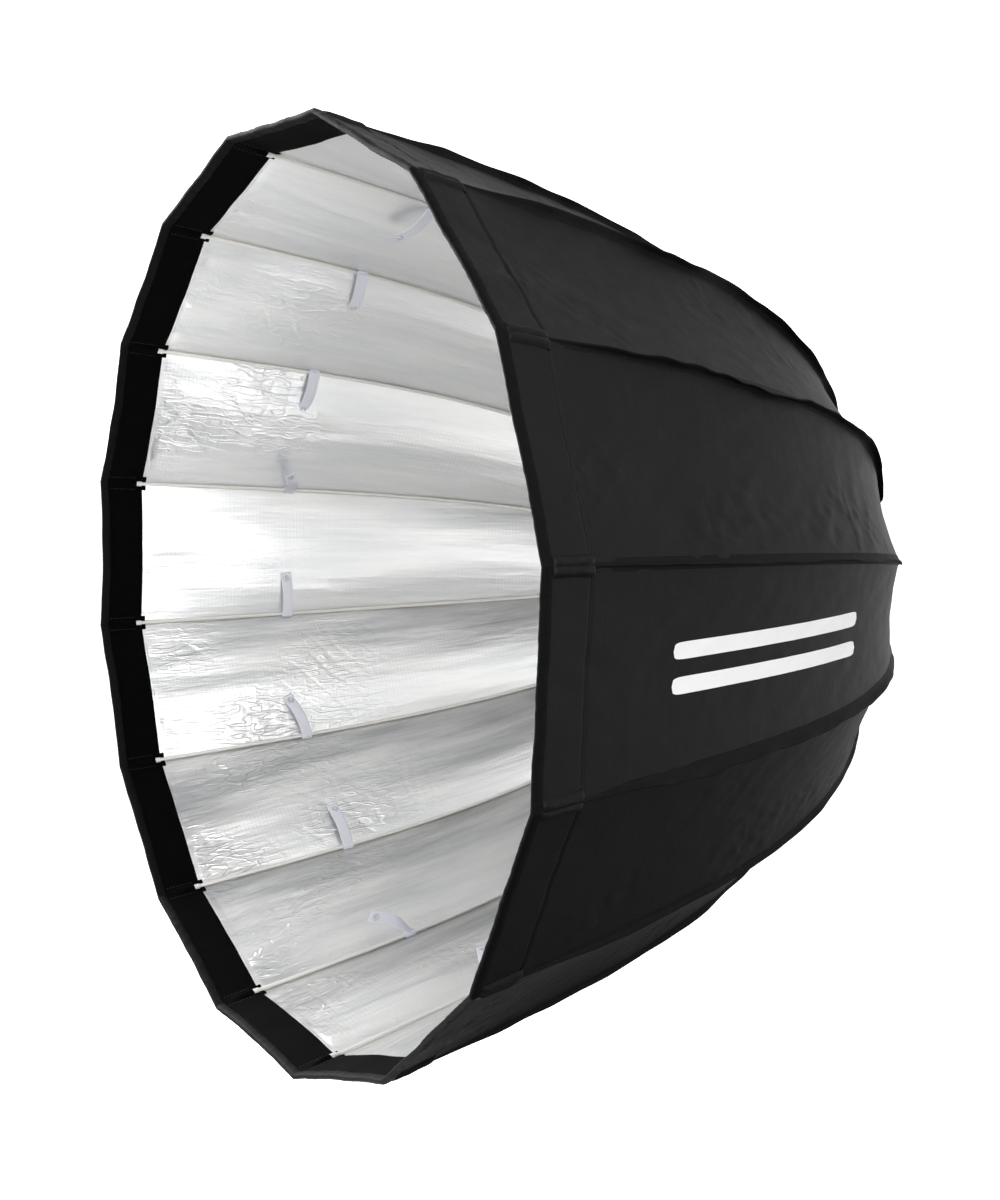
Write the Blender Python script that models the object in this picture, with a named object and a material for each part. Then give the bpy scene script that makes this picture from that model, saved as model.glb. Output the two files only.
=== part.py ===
"""Deep 16-rib parabolic softbox, 90 cm across, modelled open.

Metres, +Z up. The optical axis is Y: the mouth faces -Y and the light head stands at +Y.
The origin is the centre of the bayonet's seat, the flat ring that bears on the light head.
Ribs are numbered anticlockwise from the top, seen from the mouth. Panel N lies between rib N and
rib N + 1. Each rib, and each cloth panel, swings on a hinge that runs round the speed ring.
"""

import math

import bmesh
import bpy
from mathutils import Vector

# ---- driving dimensions -----------------------------------------------------------------------
RIB_COUNT = 16
STEP = 2 * math.pi / RIB_COUNT       # from one rib to the next
FIRST_RIB = -STEP / 2                # rib 1 stands half a step clockwise of the top
RIM_RADIUS = 0.450                   # rim corner, at a rib
CLOTH_DEPTH = 0.720                  # rim plane to the root of the cloth's curve
RIM_LEAN = math.radians(8.3)         # between the rib and the optical axis, at the rim
ROOT_LEAN = math.radians(80.6)       # the same at the root
LEAN_POWER = 2.716                   # how late along its length the rib bends
RIB_LENGTH = 0.866                   # along the cloth's fold line, rim to root
CLOTH_END_RADIUS = 0.098             # rear hem of the cloth, just outside the speed ring
CLOTH_THICK = 0.0016                 # black shell, silver lining and the air between them
GAP = 0.0003                         # between touching pieces

HINGE_RADIUS = 0.078                 # circle of the hinge wire
HINGE_Y = -0.022
WIRE_RADIUS = 0.0012
ROD_RADIUS = 0.0020
ROD_INSET = 0.0048                   # rod centre below the cloth's fold line
ROOT_INSET = 0.0080                  # the same at the hinge
TIP_BEHIND_RIM = 0.040               # where the rod's white tip ends, along the rib

SOCKET_ACROSS = 0.0084               # socket barrel, flat to flat
SOCKET_REACH = 0.050                 # hinge to socket mouth
SOCKET_HEEL = 0.0046                 # hinge to the socket's inner end
SOCKET_BORE = 0.0023
SOCKET_BORE_DEPTH = 0.020
SOCKET_SIDES = 8

RING_OUTER = 0.0905
RING_REAR_Y = -0.002
RING_FRONT_Y = HINGE_Y - 0.0015
BOSS_INNER = 0.0655                  # thick part of the speed ring
WEB_INNER = 0.0495                   # thin web that the bayonet turns on
WEB_FRONT_Y = -0.0105
WEB_REAR_Y = -0.0045
POCKET_RADIUS = 0.0582               # counterbore that takes the bayonet's flange
SLOT_WIDTH = 0.0096                  # slot for one socket
SLOT_INNER = 0.0712
SLOT_FLOOR_Y = HINGE_Y + 0.0069
CHANNEL_INNER = 0.0720               # groove that lightens the rear of the ring
CHANNEL_OUTER = 0.0860
CHANNEL_FLOOR_Y = -0.0100
CHAMFER = 0.0008

PLATE_THICK = 0.0020                 # the plate that covers the hinge wire
PLATE_REAR_Y = RING_FRONT_Y - GAP
PLATE_INNER = 0.0665
PLATE_OUTER = 0.0885
SCREW_COUNT = 3
SCREW_CIRCLE = 0.0845
SCREW_SHANK = 0.0012
SCREW_HEAD = 0.0024
SCREW_HEAD_THICK = 0.0014
SCREW_DEPTH = 0.0090

BARREL_INNER = 0.0455
BARREL_OUTER = 0.0485
BARREL_REAR_Y = 0.0110
BARREL_FRONT_Y = -0.0200
FLANGE_OUTER = 0.0575
LUG_OUTER = 0.0525
LUG_THICK = 0.0042
LUG_ANGLE = math.radians(34)
LUG_COUNT = 3
RETAINER_OUTER = 0.0560
RETAINER_THICK = 0.0030

LOCK_Y = -0.0075                     # axis of the lock screw, which points down
LOCK_SHANK = 0.0020
SHANK_IN_KNOB = 0.0080               # how far the steel shank reaches into the knob
KNOB_RADIUS = 0.0062
KNOB_LOW = 0.112                     # outer end of the knob, from the optical axis
KNOB_HIGH = 0.0960
KNOB_FLUTES = 6
KNOB_FLUTE_DEPTH = 0.07              # as a share of the radius

COLLAR_OUTER = 0.0948                # elastic hem at the root of the cloth
COLLAR_THICK = 0.0026
COLLAR_REAR_Y = -0.0148

ROUND = 48                           # sides of the turned pieces
PANEL_ROWS = 18
ROW_CROWDING = 0.75                  # below 1, the rows stand closer where the curve is tighter
CURVE_STEPS = 400

# ---- scene and materials ----------------------------------------------------------------------
for leftover in list(bpy.data.objects):
    bpy.data.objects.remove(leftover, do_unlink=True)

scene_collection = bpy.context.scene.collection
PARTS = bpy.data.collections.new("deep_parabolic_softbox")
CUTTERS = bpy.data.collections.new("cutters")
scene_collection.children.link(PARTS)
scene_collection.children.link(CUTTERS)


def material(name, colour, roughness, metallic=0.0):
    made = bpy.data.materials.new(name)
    made.use_nodes = True
    shader = made.node_tree.nodes["Principled BSDF"]
    shader.inputs["Base Color"].default_value = (*colour, 1)
    shader.inputs["Roughness"].default_value = roughness
    shader.inputs["Metallic"].default_value = metallic
    return made


CAST_BLACK = material("cast_black", (0.025, 0.025, 0.027), 0.5, 0.6)
STEEL = material("zinc_steel", (0.62, 0.62, 0.60), 0.32, 1.0)
ROD_WHITE = material("fibreglass_white", (0.86, 0.86, 0.84), 0.35)
SOCKET_METAL = material("socket_metal", (0.40, 0.41, 0.42), 0.4, 1.0)
CLOTH_BLACK = material("black_cloth", (0.018, 0.018, 0.020), 0.6)
KNOB_BLACK = material("knob_black", (0.03, 0.03, 0.03), 0.45)


def add(name, data, surface, collection=PARTS):
    thing = bpy.data.objects.new(name, data)
    if not data.materials:
        data.materials.append(surface)
    collection.objects.link(thing)
    return thing


def mesh_of(name, cage, turn_faces_out=True):
    """A mesh from a bmesh, smooth between shallow edges. Solids made of primitives already face out."""
    if turn_faces_out:
        bmesh.ops.recalc_face_normals(cage, faces=cage.faces)
    mesh = bpy.data.meshes.new(name)
    cage.to_mesh(mesh)
    cage.free()
    mesh.shade_smooth()
    mesh.set_sharp_from_angle(angle=math.radians(35))
    return mesh


def cutter(name, mesh):
    """A hidden helper that only Boolean modifiers use."""
    helper = bpy.data.objects.new(name, mesh)
    CUTTERS.objects.link(helper)
    helper.hide_render = True
    helper.display_type = "WIRE"
    return helper


def boolean(thing, helper, operation="DIFFERENCE"):
    modifier = thing.modifiers.new(operation.lower() + "_" + helper.name, "BOOLEAN")
    modifier.operation = operation
    modifier.object = helper
    modifier.solver = "EXACT"


def block(cage, low, high, angle=0.0):
    """A box from low to high, turned about the optical axis."""
    made = bmesh.ops.create_cube(cage, size=1.0)["verts"]
    for vert in made:
        local = Vector([a + (c + 0.5) * (b - a) for a, b, c in zip(low, high, vert.co)])
        vert.co = turned(local, angle)
    return made


def turned(point, angle):
    """point, turned about the optical axis so that +Z goes towards the rib at that angle."""
    x, y, z = point
    return Vector((
        x * math.cos(angle) - z * math.sin(angle), y, x * math.sin(angle) + z * math.cos(angle)
    ))


def turned_piece(name, section, surface):
    """A ring about the optical axis. section lists (radius, y) round its outline."""
    cage = bmesh.new()
    rings = []
    for side in range(ROUND):
        angle = 2 * math.pi * (side + 0.5) / ROUND
        rings.append([cage.verts.new(turned((0, y, radius), angle)) for radius, y in section])
    for this, following in zip(rings, rings[1:] + rings[:1]):
        for a in range(len(section)):
            b = (a + 1) % len(section)
            cage.faces.new((this[a], this[b], following[b], following[a]))
    return add(name, mesh_of(name, cage), surface)


# ---- the curve that ribs and cloth follow ------------------------------------------------------
def cloth_curve():
    """(share of the length, radius, depth behind the rim, lean) down the cloth's fold line."""
    radius, depth, points = RIM_RADIUS, 0.0, []
    for index in range(CURVE_STEPS + 1):
        share = index / CURVE_STEPS
        lean = RIM_LEAN + (ROOT_LEAN - RIM_LEAN) * share**LEAN_POWER
        points.append((share, radius, depth, lean))
        radius -= math.sin(lean) * RIB_LENGTH / CURVE_STEPS
        depth += math.cos(lean) * RIB_LENGTH / CURVE_STEPS
    return points


CURVE = cloth_curve()
ROOT_DEPTH = CURVE[-1][2]
RIM_Y = HINGE_Y + ROOT_INSET * math.sin(ROOT_LEAN) - ROOT_DEPTH


def at(share):
    """(radius, y, lean) of the cloth's fold line at a share of its length from the rim."""
    place = min(max(share, 0.0), 1.0) * CURVE_STEPS
    index = min(int(place), CURVE_STEPS - 1)
    part = place - index
    a, b = CURVE[index], CURVE[index + 1]
    mixed = [p + (q - p) * part for p, q in zip(a, b)]
    return mixed[1], RIM_Y + mixed[2], mixed[3]


def inset(share, distance):
    """(radius, y) of the point that far inside the fold line."""
    radius, y, lean = at(share)
    return radius - distance * math.cos(lean), y - distance * math.sin(lean)


def share_at_radius(wanted):
    for share, radius, _, _ in CURVE:
        if radius <= wanted:
            return share
    return 1.0


# ---- rib: socket and rod, drawn in the hinge's own frame ----------------------------------------
# local X is the hinge axis, Y the optical axis, Z points away from it; the hinge is at 0, 0, 0.
ROD_ROOT_SHARE = 1 - SOCKET_REACH / RIB_LENGTH


def rod_inset(share):
    """The rod sinks deeper below the cloth near the hinge, where the socket is fatter."""
    late = max(0.0, (share - 0.80) / 0.20)
    return ROD_INSET + (ROOT_INSET - ROD_INSET) * late * late * (3 - 2 * late)


def rod_point(share):
    radius, y = inset(share, rod_inset(share))
    return Vector((0, y - HINGE_Y, radius - HINGE_RADIUS))


SOCKET_MOUTH = rod_point(ROD_ROOT_SHARE)
SOCKET_LINE = SOCKET_MOUTH.normalized()
SOCKET_LENGTH = SOCKET_MOUTH.length


def socket_mesh():
    """An eight-sided barrel along the rod's root, with an eye for the wire and a bore for the rod."""
    cage = bmesh.new()
    length = SOCKET_LENGTH + SOCKET_HEEL
    bmesh.ops.create_cone(
        cage, cap_ends=True, segments=SOCKET_SIDES, depth=length,
        radius1=SOCKET_ACROSS / 2 / math.cos(math.pi / SOCKET_SIDES),
        radius2=SOCKET_ACROSS / 2 / math.cos(math.pi / SOCKET_SIDES),
    )
    turn = Vector((0, 0, 1)).rotation_difference(SOCKET_LINE).to_matrix()
    middle = SOCKET_LINE * (SOCKET_LENGTH - SOCKET_HEEL) / 2
    for vert in cage.verts:
        x, y, z = vert.co
        half_side = math.pi / SOCKET_SIDES
        flat = Vector((
            x * math.cos(half_side) - y * math.sin(half_side),
            x * math.sin(half_side) + y * math.cos(half_side), z,
        ))
        vert.co = turn @ flat + middle
    return mesh_of("rib_socket", cage)


def socket_cutter():
    """The wire's eye across the barrel, and the rod's blind bore from the mouth."""
    cage = bmesh.new()
    eye = bmesh.ops.create_cone(
        cage, cap_ends=True, segments=12, depth=2 * SOCKET_ACROSS,
        radius1=WIRE_RADIUS + 2.2 * GAP, radius2=WIRE_RADIUS + 2.2 * GAP,
    )["verts"]
    for vert in eye:
        x, y, z = vert.co
        vert.co = Vector((z, y, -x))
    over = 0.004
    bore = bmesh.ops.create_cone(
        cage, cap_ends=True, segments=12, depth=SOCKET_BORE_DEPTH + over,
        radius1=SOCKET_BORE + GAP, radius2=SOCKET_BORE + GAP,
    )["verts"]
    turn = Vector((0, 0, 1)).rotation_difference(SOCKET_LINE).to_matrix()
    middle = SOCKET_LINE * (SOCKET_LENGTH + (over - SOCKET_BORE_DEPTH) / 2)
    for vert in bore:
        vert.co = turn @ vert.co + middle
    return cutter("socket_holes", mesh_of("socket_holes", cage))


def rod_curve():
    """A round rod from inside the socket to its tip behind the rim."""
    stops = 17
    first = SOCKET_LINE * (SOCKET_LENGTH - SOCKET_BORE_DEPTH + 0.001)
    tip_share = TIP_BEHIND_RIM / RIB_LENGTH
    points = [first, SOCKET_LINE * (SOCKET_LENGTH + 0.001)]
    for index in range(1, stops):
        share = ROD_ROOT_SHARE + (tip_share - ROD_ROOT_SHARE) * index / (stops - 1)
        points.append(rod_point(share))
    data = bpy.data.curves.new("rib_rod", "CURVE")
    data.dimensions = "3D"
    data.bevel_depth = ROD_RADIUS
    data.bevel_resolution = 2
    data.use_fill_caps = True
    line = data.splines.new("POLY")
    line.points.add(len(points) - 1)
    for point, place in zip(line.points, points):
        point.co = (*place, 1)
    return data


# ---- cloth panel, drawn in its own hinge's frame -----------------------------------------------
def panel_mesh():
    """One gore: curved from rim to hem, straight from rib to rib, with an even thickness."""
    half = STEP / 2
    end_share = share_at_radius(CLOTH_END_RADIUS)
    hinge = HINGE_RADIUS * math.cos(half)
    cage = bmesh.new()
    loops = []
    for row in range(PANEL_ROWS + 1):
        share = end_share * (row / PANEL_ROWS) ** ROW_CROWDING
        outer = at(share)[:2]
        inner = inset(share, CLOTH_THICK / math.cos(half))
        corners = []
        for (radius, y), side in ((outer, -1), (outer, 1), (inner, 1), (inner, -1)):
            across = side * (radius * math.sin(half) - GAP / 2)
            corners.append(cage.verts.new((across, y - HINGE_Y, radius * math.cos(half) - hinge)))
        loops.append(corners)
    for this, following in zip(loops, loops[1:]):
        for a in range(4):
            b = (a + 1) % 4
            cage.faces.new((this[a], this[b], following[b], following[a]))
    cage.faces.new(loops[0])
    cage.faces.new(loops[-1])
    return mesh_of("canopy_panel", cage)


def swing_frames():
    """Places each rib and each panel on its hinge. Their meshes are shared."""
    socket, holes = socket_mesh(), socket_cutter()
    rod, panel = rod_curve(), panel_mesh()
    for number in range(1, RIB_COUNT + 1):
        angle = FIRST_RIB + (number - 1) * STEP
        for kind, data, surface, middle, radius in (
            ("rib_socket", socket, SOCKET_METAL, angle, HINGE_RADIUS),
            ("rib_rod", rod, ROD_WHITE, angle, HINGE_RADIUS),
            ("canopy_panel", panel, CLOTH_BLACK, angle + STEP / 2,
             HINGE_RADIUS * math.cos(STEP / 2)),
        ):
            piece = add(f"{kind}_{number:02d}", data, surface)
            piece.location = turned((0, HINGE_Y, radius), middle)
            piece.rotation_euler = (0, -middle, 0)
            if kind == "rib_socket":
                own_holes = cutter(f"socket_holes_{number:02d}", holes.data)
                own_holes.location = piece.location
                own_holes.rotation_euler = piece.rotation_euler
                boolean(piece, own_holes)
    bpy.data.objects.remove(holes, do_unlink=True)


# ---- speed ring, hinge wire and wire plate -------------------------------------------------------
def front_cutter():
    """Sixteen radial slots that the sockets swing in, and the holes of the three plate screws."""
    cage = bmesh.new()
    for number in range(RIB_COUNT):
        block(
            cage, (-SLOT_WIDTH / 2, RING_FRONT_Y - 0.02, SLOT_INNER),
            (SLOT_WIDTH / 2, SLOT_FLOOR_Y, RING_OUTER + 0.02), FIRST_RIB + number * STEP,
        )
    length = 0.03
    middle_y = RING_FRONT_Y + SCREW_DEPTH - length / 2
    for number in range(SCREW_COUNT):
        hole = bmesh.ops.create_cone(
            cage, cap_ends=True, segments=12, depth=length,
            radius1=SCREW_SHANK + GAP, radius2=SCREW_SHANK + GAP,
        )["verts"]
        for vert in hole:
            x, y, z = vert.co
            vert.co = turned((x, z + middle_y, SCREW_CIRCLE - y), screw_angle(number))
    return cutter("slots_and_holes", mesh_of("slots_and_holes", cage, turn_faces_out=False))


def lock_hole_cutter():
    """The radial hole of the lock screw, straight down from the bayonet's barrel."""
    cage = bmesh.new()
    hole = bmesh.ops.create_cone(
        cage, cap_ends=True, segments=16, depth=0.06,
        radius1=LOCK_SHANK + 1.5 * GAP, radius2=LOCK_SHANK + 1.5 * GAP,
    )["verts"]
    for vert in hole:
        vert.co += Vector((0, LOCK_Y, -(WEB_INNER + 0.025)))
    return cutter("lock_hole", mesh_of("lock_hole", cage))


def speed_ring(front, lock_hole):
    """The cast ring: a slotted boss in front, a channel behind, and a web for the bayonet."""
    groove = WIRE_RADIUS + GAP
    section = [
        (RING_OUTER, RING_REAR_Y - CHAMFER),
        (RING_OUTER, RING_FRONT_Y + CHAMFER),
        (RING_OUTER - CHAMFER, RING_FRONT_Y),
        (HINGE_RADIUS + groove, RING_FRONT_Y),
        (HINGE_RADIUS + groove, HINGE_Y + groove),
        (HINGE_RADIUS - groove, HINGE_Y + groove),
        (HINGE_RADIUS - groove, RING_FRONT_Y),
        (BOSS_INNER, RING_FRONT_Y),
        (BOSS_INNER, WEB_FRONT_Y),
        (WEB_INNER, WEB_FRONT_Y),
        (WEB_INNER, WEB_REAR_Y),
        (POCKET_RADIUS, WEB_REAR_Y),
        (POCKET_RADIUS, RING_REAR_Y),
        (CHANNEL_INNER, RING_REAR_Y),
        (CHANNEL_INNER, CHANNEL_FLOOR_Y),
        (CHANNEL_OUTER, CHANNEL_FLOOR_Y),
        (CHANNEL_OUTER, RING_REAR_Y),
        (RING_OUTER - CHAMFER, RING_REAR_Y),
    ]
    ring = turned_piece("speed_ring", section, CAST_BLACK)
    boolean(ring, front)
    boolean(ring, lock_hole)


def screw_angle(number):
    """Screws stand half way between ribs."""
    return FIRST_RIB + STEP / 2 + number * round(RIB_COUNT / SCREW_COUNT) * STEP


def hinge_wire():
    """A closed hoop of spring wire through the eyes of all the sockets."""
    sides = 8
    section = [
        (
            HINGE_RADIUS + WIRE_RADIUS * math.cos(2 * math.pi * side / sides),
            HINGE_Y - WIRE_RADIUS * math.sin(2 * math.pi * side / sides),
        )
        for side in range(sides)
    ]
    return turned_piece("hinge_wire", section, STEEL)


def wire_plate(front):
    """The flat ring that keeps the hinge wire in its groove."""
    section = [
        (PLATE_OUTER, PLATE_REAR_Y),
        (PLATE_OUTER, PLATE_REAR_Y - PLATE_THICK),
        (PLATE_INNER, PLATE_REAR_Y - PLATE_THICK),
        (PLATE_INNER, PLATE_REAR_Y),
    ]
    plate = turned_piece("wire_plate", section, CAST_BLACK)
    boolean(plate, front)


def plate_screws():
    """Three pan-head screws through the plate into the ring, each a shank with a wider head."""
    head_y = PLATE_REAR_Y - PLATE_THICK - GAP
    outline = [
        (0.0, head_y - SCREW_HEAD_THICK),
        (SCREW_HEAD * 0.75, head_y - SCREW_HEAD_THICK),
        (SCREW_HEAD, head_y - SCREW_HEAD_THICK * 0.5),
        (SCREW_HEAD, head_y),
        (SCREW_SHANK, head_y),
        (SCREW_SHANK, RING_FRONT_Y + SCREW_DEPTH - 0.002),
        (0.0, RING_FRONT_Y + SCREW_DEPTH - 0.002),
    ]
    for number in range(SCREW_COUNT):
        screw = lathe_about_local_z(f"plate_screw_{number + 1}", outline, STEEL, 12)
        screw.location = turned((0, 0, SCREW_CIRCLE), screw_angle(number))
        screw.rotation_euler = (-math.pi / 2, 0, 0)


def lathe_about_local_z(name, outline, surface, sides, closed=False):
    """A solid turned about its own Z. outline lists (radius, z), from one end of the axis to the
    other, or right round when closed."""
    cage = bmesh.new()
    loops = []
    for radius, z in outline:
        count = 1 if radius == 0.0 else sides
        loops.append([
            cage.verts.new((
                radius * math.cos(2 * math.pi * side / sides),
                radius * math.sin(2 * math.pi * side / sides), z,
            ))
            for side in range(count)
        ])
    pairs = list(zip(loops, loops[1:]))
    if closed:
        pairs.append((loops[-1], loops[0]))
    for this, following in pairs:
        if len(this) == 1 and len(following) == 1:
            continue
        for side in range(sides):
            after = (side + 1) % sides
            corners = [
                this[side % len(this)], this[after % len(this)],
                following[after % len(following)], following[side % len(following)],
            ]
            cage.faces.new(list(dict.fromkeys(corners)))
    return add(name, mesh_of(name, cage), surface)


# ---- bayonet, its retainer and the lock screw ---------------------------------------------------
def bayonet_ring():
    """A barrel with a seat flange, and three lugs that lock behind the light head's claws."""
    bevel = 0.0006
    section = [
        (BARREL_OUTER, BARREL_REAR_Y - bevel),
        (BARREL_OUTER, 0.0),
        (FLANGE_OUTER - bevel, 0.0),
        (FLANGE_OUTER, -bevel),
        (FLANGE_OUTER, WEB_REAR_Y + GAP),
        (BARREL_OUTER, WEB_REAR_Y + GAP),
        (BARREL_OUTER, BARREL_FRONT_Y + bevel),
        (BARREL_OUTER - bevel, BARREL_FRONT_Y),
        (BARREL_INNER, BARREL_FRONT_Y),
        (BARREL_INNER, BARREL_REAR_Y),
        (BARREL_OUTER - bevel, BARREL_REAR_Y),
    ]
    ring = turned_piece("bayonet_ring", section, STEEL)
    cage = bmesh.new()
    sides = 8
    for number in range(LUG_COUNT):
        middle = math.pi + number * 2 * math.pi / LUG_COUNT
        rows = []
        for side in range(sides + 1):
            angle = middle + LUG_ANGLE * (side / sides - 0.5)
            rows.append([
                cage.verts.new(turned((0, y, radius), angle))
                for radius, y in (
                    (LUG_OUTER, BARREL_REAR_Y - LUG_THICK),
                    (LUG_OUTER, BARREL_REAR_Y - bevel),
                    (BARREL_INNER + 0.0010, BARREL_REAR_Y - bevel),
                    (BARREL_INNER + 0.0010, BARREL_REAR_Y - LUG_THICK),
                )
            ])
        for this, following in zip(rows, rows[1:]):
            for a in range(4):
                b = (a + 1) % 4
                cage.faces.new((this[a], this[b], following[b], following[a]))
        cage.faces.new(rows[0])
        cage.faces.new(rows[-1])
    boolean(ring, cutter("bayonet_lugs", mesh_of("bayonet_lugs", cage)), "UNION")


def bayonet_retainer():
    """The threaded ring on the barrel, in front of the web, that keeps the bayonet in."""
    rear = WEB_FRONT_Y - GAP
    section = [
        (RETAINER_OUTER, rear),
        (RETAINER_OUTER, rear - RETAINER_THICK),
        (BARREL_OUTER + GAP, rear - RETAINER_THICK),
        (BARREL_OUTER + GAP, rear),
    ]
    turned_piece("bayonet_retainer", section, STEEL)


def lock_screw():
    """A steel shank that points up at the barrel, and the fluted knob that turns it."""
    shank_end = KNOB_HIGH + SHANK_IN_KNOB
    shank = lathe_about_local_z(
        "lock_shank",
        [(0.0, -(BARREL_OUTER + GAP)), (LOCK_SHANK, -(BARREL_OUTER + GAP)),
         (LOCK_SHANK, -shank_end), (0.0, -shank_end)],
        STEEL, 16,
    )
    knob = lathe_about_local_z(
        "lock_knob",
        [(LOCK_SHANK + GAP, -KNOB_HIGH),
         (KNOB_RADIUS * 0.92, -KNOB_HIGH),
         (KNOB_RADIUS, -KNOB_HIGH - 0.0012),
         (KNOB_RADIUS, -KNOB_LOW + 0.0015),
         (KNOB_RADIUS * 0.86, -KNOB_LOW),
         (0.0, -KNOB_LOW),
         (0.0, -shank_end - GAP),
         (LOCK_SHANK + GAP, -shank_end - GAP)],
        KNOB_BLACK, 4 * KNOB_FLUTES, closed=True,
    )
    for vert in knob.data.vertices:
        if math.hypot(vert.co.x, vert.co.y) > KNOB_RADIUS / 2:
            flute = 1 + KNOB_FLUTE_DEPTH * math.cos(
                KNOB_FLUTES * math.atan2(vert.co.y, vert.co.x)
            )
            vert.co.x *= flute
            vert.co.y *= flute
    for piece in (shank, knob):
        piece.location = (0, LOCK_Y, 0)


def rear_collar():
    """The elastic cloth hem that closes the canopy against the speed ring."""
    section = [
        (COLLAR_OUTER, COLLAR_REAR_Y),
        (COLLAR_OUTER, COLLAR_REAR_Y - COLLAR_THICK),
        (RING_OUTER + GAP, COLLAR_REAR_Y - COLLAR_THICK),
        (RING_OUTER + GAP, COLLAR_REAR_Y),
    ]
    turned_piece("rear_collar", section, CLOTH_BLACK)


def build():
    front = front_cutter()
    speed_ring(front, lock_hole_cutter())
    wire_plate(front)
    plate_screws()
    hinge_wire()
    bayonet_ring()
    bayonet_retainer()
    lock_screw()
    rear_collar()
    swing_frames()


build()
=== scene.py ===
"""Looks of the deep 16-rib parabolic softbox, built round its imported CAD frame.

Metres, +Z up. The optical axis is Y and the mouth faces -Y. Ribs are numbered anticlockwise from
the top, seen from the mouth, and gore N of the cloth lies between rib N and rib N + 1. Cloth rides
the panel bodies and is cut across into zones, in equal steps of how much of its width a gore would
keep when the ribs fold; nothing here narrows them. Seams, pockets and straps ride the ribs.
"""
import math

import bpy
import numpy as np
from mathutils import Matrix, Vector


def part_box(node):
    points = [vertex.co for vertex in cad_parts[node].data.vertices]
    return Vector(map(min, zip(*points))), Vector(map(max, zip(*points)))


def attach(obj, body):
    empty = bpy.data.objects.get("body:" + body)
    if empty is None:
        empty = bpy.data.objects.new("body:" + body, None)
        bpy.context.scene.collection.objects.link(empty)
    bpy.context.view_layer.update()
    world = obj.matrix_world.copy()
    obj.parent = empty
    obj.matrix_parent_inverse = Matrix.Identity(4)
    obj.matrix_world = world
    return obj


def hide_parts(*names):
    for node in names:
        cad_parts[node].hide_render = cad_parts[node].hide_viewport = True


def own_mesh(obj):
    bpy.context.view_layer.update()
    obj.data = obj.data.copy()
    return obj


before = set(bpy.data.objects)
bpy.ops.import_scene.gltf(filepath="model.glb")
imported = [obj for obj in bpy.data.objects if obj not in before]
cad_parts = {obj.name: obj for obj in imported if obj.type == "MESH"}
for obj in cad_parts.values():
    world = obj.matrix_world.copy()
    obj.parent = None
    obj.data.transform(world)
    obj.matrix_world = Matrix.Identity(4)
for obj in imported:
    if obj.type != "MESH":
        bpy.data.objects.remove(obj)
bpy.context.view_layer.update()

# ---- the frame's own dimensions ----
RIB_COUNT = 16
STEP = 2 * math.pi / RIB_COUNT
HALF = STEP / 2
FIRST_RIB = -STEP / 2
RIM_RADIUS = 0.450  # rim corner, at a rib
RIM_LEAN = math.radians(8.3)
ROOT_LEAN = math.radians(80.6)
LEAN_POWER = 2.716
RIB_LENGTH = 0.866  # along the fold line, rim to root
CURVE_STEPS = 400
RIM_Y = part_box("canopy_panel_01")[0].y
HINGE_RADIUS = 0.078
HINGE_Y = -0.022
FOLD_ANGLE = math.radians(25.5)  # how far the ribs swing in
ROD_INSET = 0.0048  # rod centre below the fold line
ROD_RADIUS = 0.0020
CLOTH_END_SHARE = 0.98  # rear hem of the cloth

# ---- the cloth ----
ZONE_COUNT = 15  # along each gore
SAG = 0.0045  # how far a gore bows inwards between its ribs
LINING_INSET = 0.0019
LAYER_GAP = 0.0004  # the lining keeps at least this far in from the shell
LINING_SLACK = 0.0055  # the lining hangs this much further in at mid gore
BORDER_DEPTH = 0.048  # velvet border, from the rim
HEM_LINE = 0.049  # stitch line that shows on the outside
BINDING_DEPTH = 0.0085
UV_SHIFT = 0.4  # moves each gore to a part of the noise of its own
STRAP_SHARE = 0.27
PRINT_GORE = 13
# How high the seam over each rib stands at its middle, from rib 1.
SEAM_HEIGHT = (
    0.0065, 0.0060, 0.0050, 0.0045, 0.0045, 0.0045, 0.0050, 0.0050, 0.0050, 0.0050, 0.0050, 0.0045,
    0.0060, 0.0034, 0.0075, 0.0075,
)
# How crumpled each gore's lining is, and how much painted shade darkens its colour, from gore 1.
# The same painted shade amount also deepens that gore's slanting folds and bumps.
CREASED = (0.2, 0.3, 0.4, 0.6, 0.06, 0.8, 0.9, 0.8, 0.8, 0.5, 0.3, 0.5, 0.2, 0.4, 0.6, 0.35)
PAINTED_SHADE = (0.0, 0.0, 0.1, 0.1, 0.15, 0.8, 1.0, 1.0, 0.9, 0.7, 0.5, 0.4, 0.3, 0.2, 0.1, 0.0)


def rib_angle(number):
    return FIRST_RIB + (number - 1) * STEP


def gore_angle(number):
    return rib_angle(number) + HALF


# ---- the curve that ribs and cloth follow ----
CURVE_SHARE = np.linspace(0.0, 1.0, CURVE_STEPS + 1)
CURVE_LEAN = RIM_LEAN + (ROOT_LEAN - RIM_LEAN) * CURVE_SHARE**LEAN_POWER
CURVE_STEP = RIB_LENGTH / CURVE_STEPS
CURVE_RADIUS = RIM_RADIUS - np.concatenate([[0.0], np.cumsum(np.sin(CURVE_LEAN[:-1]) * CURVE_STEP)])
CURVE_Y = RIM_Y + np.concatenate([[0.0], np.cumsum(np.cos(CURVE_LEAN[:-1]) * CURVE_STEP)])


def curve(share):
    """(radius, y, lean) of the fold line. Past the rim it goes on straight."""
    share = np.asarray(share, float)
    inside = np.clip(share, 0.0, 1.0)
    over = np.minimum(share, 0.0) * RIB_LENGTH
    radius = np.interp(inside, CURVE_SHARE, CURVE_RADIUS) - over * math.sin(RIM_LEAN)
    y = np.interp(inside, CURVE_SHARE, CURVE_Y) + over * math.cos(RIM_LEAN)
    lean = np.interp(inside, CURVE_SHARE, CURVE_LEAN)
    return radius, y, lean


def at_distance(distance):
    """The share of the rib's length at a distance from the rim."""
    return np.asarray(distance, float) / RIB_LENGTH


# ---- noise ----
LATTICE = 128


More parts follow.
